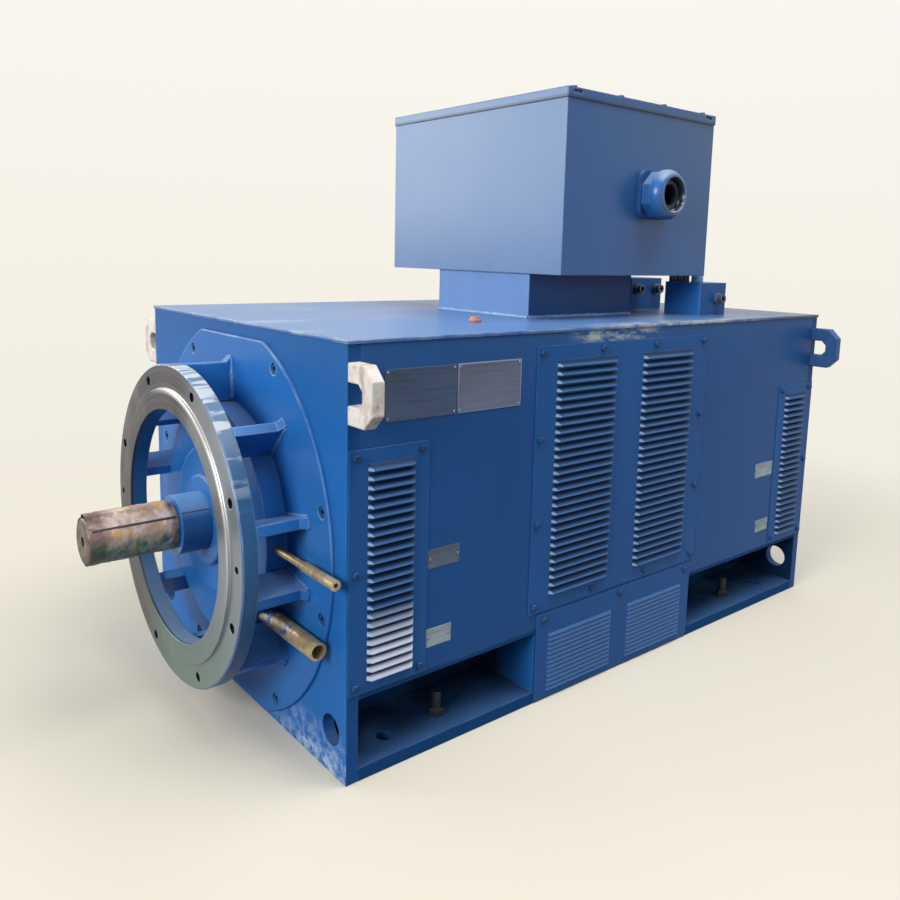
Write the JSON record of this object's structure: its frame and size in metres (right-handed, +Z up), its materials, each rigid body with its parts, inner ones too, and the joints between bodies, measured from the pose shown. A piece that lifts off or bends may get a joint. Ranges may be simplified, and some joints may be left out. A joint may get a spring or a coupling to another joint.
{
  "type": "asynchronous motor",
  "caption": "Large box-frame asynchronous motor with feet, a ribbed lantern flange, louvred side covers and a roof terminal box.",
  "frame": {"origin": "centre of the foot bolt pattern on the base plane", "axes": "-X is the way the shaft end points, +Z is up, -Y is the side with the plates"},
  "size_m": [2.323, 1.276, 1.6088],
  "materials": {
    "blue_paint": "gloss paint",
    "cream_paint": "gloss paint, worn",
    "bare_steel": "machined, oiled",
    "plated_steel": "zinc plated",
    "core_steel": "laminated, varnished",
    "cast_iron": "as cast and primed",
    "copper": "varnished copper",
    "aluminium": "cast",
    "yellow_plated": "yellow passivated",
    "gland_grey": "moulded",
    "rubber": "matt",
    "insulator": "glossy resin"
  },
  "bodies": {
    "frame": {"air_baffles": "plated_steel", "centre_cover_left": "blue_paint", "centre_cover_right": "blue_paint", "cover_screws": "plated_steel", "drive_bearing_outer_ring": "bare_steel", "drive_end_shield": "blue_paint", "drive_foot_left": "blue_paint", "drive_foot_right": "blue_paint", "drive_inner_bearing_cap": "cast_iron", "drive_louvre_cover_left": "blue_paint", "drive_louvre_cover_right": "blue_paint", "drive_outer_bearing_cap": "blue_paint", "flange_ribs": "blue_paint", "flange_ring": "bare_steel", "floor_plate": "blue_paint", "front_end_plate": "blue_paint", "grease_inlet_pipe": "yellow_plated", "grease_outlet_pipe": "yellow_plated", "heater_lead_box": "blue_paint", "jack_screws": "plated_steel", "lead_box_glands": "gland_grey", "lid_bolts": "plated_steel", "lifting_lugs": "cream_paint", "lower_panel_left": "blue_paint", "lower_panel_right": "blue_paint", "main_gland_body": "blue_paint", "main_gland_nut": "blue_paint", "main_gland_seal": "rubber", "rear_bearing_outer_ring": "bare_steel", "rear_end_plate": "blue_paint", "rear_end_shield": "blue_paint", "rear_foot_left": "blue_paint", "rear_foot_right": "blue_paint", "rear_inner_bearing_cap": "cast_iron", "rear_louvre_cover_left": "blue_paint", "rear_louvre_cover_right": "blue_paint", "rear_outer_bearing_cap": "blue_paint", "roof_plate": "blue_paint", "sensor_lead_box": "blue_paint", "shield_bolts": "plated_steel", "side_skin_left": "blue_paint", "side_skin_right": "blue_paint", "stator_core": "core_steel", "stator_supports": "plated_steel", "stator_winding": "copper", "terminal_box": "blue_paint", "terminal_box_gasket": "rubber", "terminal_box_lid": "blue_paint", "terminal_box_neck": "blue_paint", "terminal_insulators": "insulator"},
    "rotor": {"shaft": "bare_steel", "shaft_key": "bare_steel", "shaft_seal": "rubber", "rotor_core": "core_steel", "rotor_cage": "aluminium", "cooling_fans": "aluminium", "drive_bearing_inner_ring": "bare_steel", "rear_bearing_inner_ring": "bare_steel"},
    "drive_roller_cage": {"drive_bearing_roller_set": "bare_steel"},
    "rear_ball_cage": {"rear_bearing_ball_set": "bare_steel"}
  },
  "joints": [
    {"name": "rotor_spin", "type": "hinge", "parent": "frame", "child": "rotor", "pos_m": [0, 0, 0.475], "axis": [1, 0, 0], "continuous": true},
    {"name": "drive_cage_spin", "type": "hinge", "parent": "frame", "child": "drive_roller_cage", "pos_m": [0, 0, 0.475], "axis": [1, 0, 0], "continuous": true},
    {"name": "rear_cage_spin", "type": "hinge", "parent": "frame", "child": "rear_ball_cage", "pos_m": [0, 0, 0.475], "axis": [1, 0, 0], "continuous": true}
  ],
  "couplings": [
    {"joint": "drive_cage_spin", "follows": "rotor_spin", "ratio": 0.4375},
    {"joint": "rear_cage_spin", "follows": "rotor_spin", "ratio": 0.4056}
  ]
}
